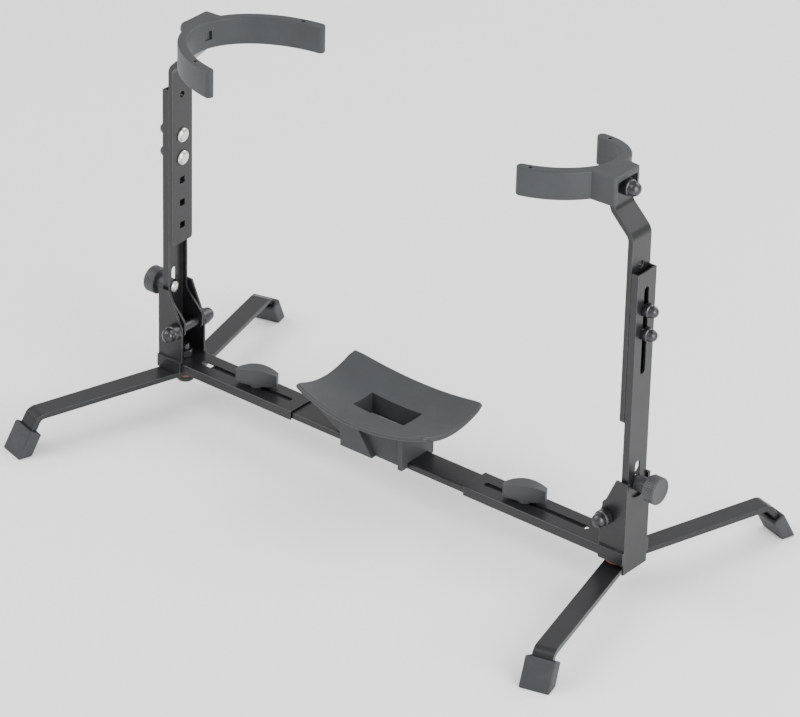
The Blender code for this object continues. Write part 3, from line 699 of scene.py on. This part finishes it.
def yoke(side):
    """A moulded C with rolled rims, a recess for the strip's end and a square bolt pocket."""
    node = side + "_yoke"
    shape = YOKES[side]
    low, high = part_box(node)
    bottom, top = low[2], high[2]
    home = TURN[side] @ Matrix.Translation((YOKE_ORIGIN_X, 0, 0))
    piece = plate(yoke_outline(shape), bottom, top, home, rounding=YOKE_ROUNDING, name=node + "_moulded")
    strip_low, strip_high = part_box(side + "_upper_upright")
    bolt_low, bolt_high = (Vector(corner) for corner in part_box(side + "_yoke_bolt"))
    inner_x = min(abs(bolt_low.x), abs(bolt_high.x))
    wall = abs(YOKE_ORIGIN_X) - inner_x + 0.0007
    bolt_z = (bolt_low.z + bolt_high.z) / 2
    strip_inner = min(abs(strip_low[0]), abs(strip_high[0]))
    floor = abs(YOKE_ORIGIN_X) - strip_inner + GAP
    half = (strip_high[1] - strip_low[1]) / 2 + GAP
    recess = block((-0.010, -half, bottom - 0.010), (floor, half, top - RECESS_DROP), home)
    recess = soften(recess, 0.0006, 3)
    pocket = 0.0045
    window = block((wall - 0.005, -pocket, bolt_z - pocket), (wall + 0.014, pocket, bolt_z + pocket), home)
    window = soften(window, 0.0006, 3)
    hole = rod(M6_HOLE, (0, 0, bolt_z), (wall + 0.012, 0, bolt_z), home)
    for tool in (recess, window, hole):
        piece = combine(piece, tool, "DIFFERENCE")
    for angle in shape["holes"]:
        spot = ellipse_point(shape, shape["thickness"] / 2, angle)
        piece = combine(piece, rod(0.0018, (*spot, bottom - 0.005), (*spot, top + 0.005), home, 24),
                        "DIFFERENCE")
        for edge in (bottom, top):
            piece = combine(piece, countersink((*spot, edge), home), "DIFFERENCE")
    finish(piece, node, sharp=32.0)


def countersink(spot, home):
    """A shallow dimple round a moulded hole."""
    place = home @ Matrix.Translation(spot)
    return turned("dimple", [(0, 0.0007), (0.0026, 0.0004), (0.0022, -0.0002), (0.0010, -0.0006),
                             (0, -0.0007)], place, steps=24)


# ---------------------------------------------------------------- saddle

def dish_height(along, across):
    return SADDLE_LOW + 0.010 * along ** 2 + 0.009 * across ** 2 + 0.002 * (along * across) ** 2


def dish():
    """The doubly concave top as a fine sheet with rounded corners and a rolled rim."""
    shape = bmesh.new()
    bmesh.ops.create_grid(shape, x_segments=60, y_segments=44, size=1.0)
    for vertex in shape.verts:
        along, across = vertex.co.x, vertex.co.y
        corner = max(0.0, abs(along) - 0.86) * max(0.0, abs(across) - 0.80)
        pull = corner * 0.8
        x = along * (1 - pull)
        y = across * (1 - pull)
        half_width = SADDLE_HALF_WIDTH - 0.0003 - 0.0075 * x ** 2
        spot_x = SADDLE_MIDDLE + (SADDLE_HALF_LENGTH - 0.0003) * x
        vertex.co = (spot_x, half_width * y, dish_height(x, y) - 0.00005)
    mesh = bpy.data.meshes.new("saddle_moulded")
    shape.to_mesh(mesh)
    shape.free()
    piece = link(mesh, "saddle_moulded")
    solid = piece.modifiers.new("Solidify", "SOLIDIFY")
    solid.thickness = SADDLE_THICKNESS
    solid.offset = -1.0
    return soften(piece, 0.0019, 4, 60.0)


def saddle():
    floor, top = SADDLE_FLOOR, SADDLE_JOIN
    body_half, rib = SADDLE_BODY_HALF_WIDTH - 0.0001, SADDLE_RIB_HALF_WIDTH - 0.0001
    low, high = SADDLE_BODY
    sideways = Matrix.Rotation(math.pi / 2, 4, "X")
    panel = plate([(low, floor), (-0.009, floor), (-0.036, top), (low, top)], -rib, rib, sideways)
    wedge = plate([(low + 0.002, 0.0476), (-0.0758, 0.066), (-0.0758, 0.0860), (low + 0.002, 0.081)],
                  -0.0189, 0.0189, sideways)
    body = block((low + 0.0001, -body_half, floor + 0.0001), (high + 0.001, body_half, top - 0.0002))
    pillar = block((high, -rib, floor + 0.00015), (0.0259, rib, top - 0.0001))
    piece = dish()
    for part in (body, panel, wedge, pillar):
        piece = combine(piece, soften(part, 0.0007, 3, 60.0), "UNION")
    tunnel = block((-0.100, -0.0148, 0.030), (0.100, 0.0148, BAR_TOP + GAP))
    well = block((WELL[0], -WELL_HALF_WIDTH, 0.044), (WELL[1], WELL_HALF_WIDTH, 0.100))
    piece = combine(piece, tunnel, "DIFFERENCE")
    piece = combine(piece, soften(well, 0.0010, 3), "DIFFERENCE")
    finish(piece, "saddle", sharp=38.0)


def saddle_pad():
    """Foam in the well: slightly crowned, with a soft rim."""
    low, high = (Vector(corner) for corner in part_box("saddle_pad"))
    size = high - low
    middle = (low + high) / 2
    shape = bmesh.new()
    bmesh.ops.create_cube(shape, size=1.0)
    bmesh.ops.subdivide_edges(shape, edges=shape.edges, cuts=14, use_grid_fill=True)
    for vertex in shape.verts:
        x, y, z = vertex.co * 2
        crown = (1 - x ** 4) * (1 - y ** 4)
        lump = 0.00035 * math.sin(31 * x + 5 * y) * math.sin(23 * y - 7 * x)
        rise = (z + 1) / 2 * (0.0016 * (crown - 1) + lump * crown)
        spot = middle + Vector((x * size.x, y * size.y, z * size.z)) / 2
        vertex.co = spot + Vector((0, 0, rise))
    mesh = bpy.data.meshes.new("saddle_pad_foam")
    shape.to_mesh(mesh)
    shape.free()
    piece = soften(link(mesh, "saddle_pad_foam"), 0.0008, 3, 50.0)
    finish(piece, "saddle_pad")


# ---------------------------------------------------------------- feet

def rubber_foot(node):
    """A rubber cap with rounded lower corners and a rolled mouth."""
    finish(soften(node_copy(node), 0.0028, 5, 50.0), node, sharp=40.0)


# ---------------------------------------------------------------- stage

def floor_and_light():
    bpy.ops.mesh.primitive_plane_add(size=8.0, location=(0, 0, 0))
    floor = bpy.context.object
    floor.name = "studio_floor"
    n = Nodes("studio_floor", (0.95, 0.95, 0.95), 0.0, 0.9, specular=0.15)
    floor.data.materials.append(n.material)
    world = bpy.data.worlds.new("studio")
    world.use_nodes = True
    world.node_tree.nodes["Background"].inputs["Color"].default_value = (1.0, 1.0, 1.0, 1.0)
    world.node_tree.nodes["Background"].inputs["Strength"].default_value = 0.95
    bpy.context.scene.world = world
    lamps = {
        "key": ((-1.6, -1.5, 2.2), 2.0, 66.0),
        "fill": ((2.4, -0.5, 1.1), 1.8, 84.0),
        "back": ((0.6, 2.2, 1.9), 1.8, 44.0),
    }
    for name, (place, size, power) in lamps.items():
        data = bpy.data.lights.new(name, "AREA")
        data.size = size
        data.energy = power
        lamp = bpy.data.objects.new(name, data)
        lamp.location = place
        aim = Vector((0, 0, 0.15)) - Vector(place)
        lamp.rotation_euler = aim.to_track_quat("-Z", "Y").to_euler()
        bpy.context.scene.collection.objects.link(lamp)


def camera():
    """Looks down along the bar from the front right, rolled slightly."""
    azimuth, elevation, roll = (math.radians(a) for a in (38.32, 29.62, -1.38))
    target = Vector((0.00065, 0.00254, 0.1372))
    distance = 4.4315
    back = Vector((math.sin(azimuth) * math.cos(elevation), -math.cos(azimuth) * math.cos(elevation),
                   math.sin(elevation)))
    data = bpy.data.cameras.new("camera")
    data.lens = 223.46
    data.sensor_width = 36.0
    data.clip_end = 50.0
    view = bpy.data.objects.new("camera", data)
    aim = back.to_track_quat("Z", "Y").to_matrix().to_4x4()
    tilt = Matrix.Rotation(-roll, 4, "Z")
    view.matrix_world = Matrix.Translation(target + back * distance) @ aim @ tilt
    bpy.context.scene.collection.objects.link(view)
    bpy.context.scene.camera = view


def hardware(side):
    out = OUTWARD[side]
    for name in ("height_nut_upper", "height_nut_lower", "yoke_nut"):
        cap_nut(f"{side}_{name}", out)
    cap_nut(side + "_pivot_cap_front", (0, -1, 0))
    cap_nut(side + "_pivot_cap_back", (0, 1, 0))
    for name in ("height_bolt_upper", "height_bolt_lower"):
        carriage_bolt(f"{side}_{name}", out, 0.0070, 0.0035)
    carriage_bolt(side + "_lock_bolt", out, 0.0060, 0.0030, square=False)
    carriage_bolt(side + "_clamp_bolt", (0, 0, 1), 0.0060, 0.0030, square=False)
    finish(soften(node_copy(side + "_yoke_bolt"), 0.0004, 2, 50.0), side + "_yoke_bolt")
    hinge_pin(side)
    leg_bolt(side)
    leg_nut(side)
    for name in ("leg_washer_top", "leg_washer_mid"):
        washer(f"{side}_{name}", M8_HOLE)


floor_and_light()
camera()
painted_steel()
saddle()
saddle_pad()
for tower_side in TURN:
    hardware(tower_side)
    lock_knob(tower_side)
    wing_knob(tower_side)
    yoke(tower_side)
    for foot in ("front_foot", "back_foot"):
        rubber_foot(f"{tower_side}_{foot}")
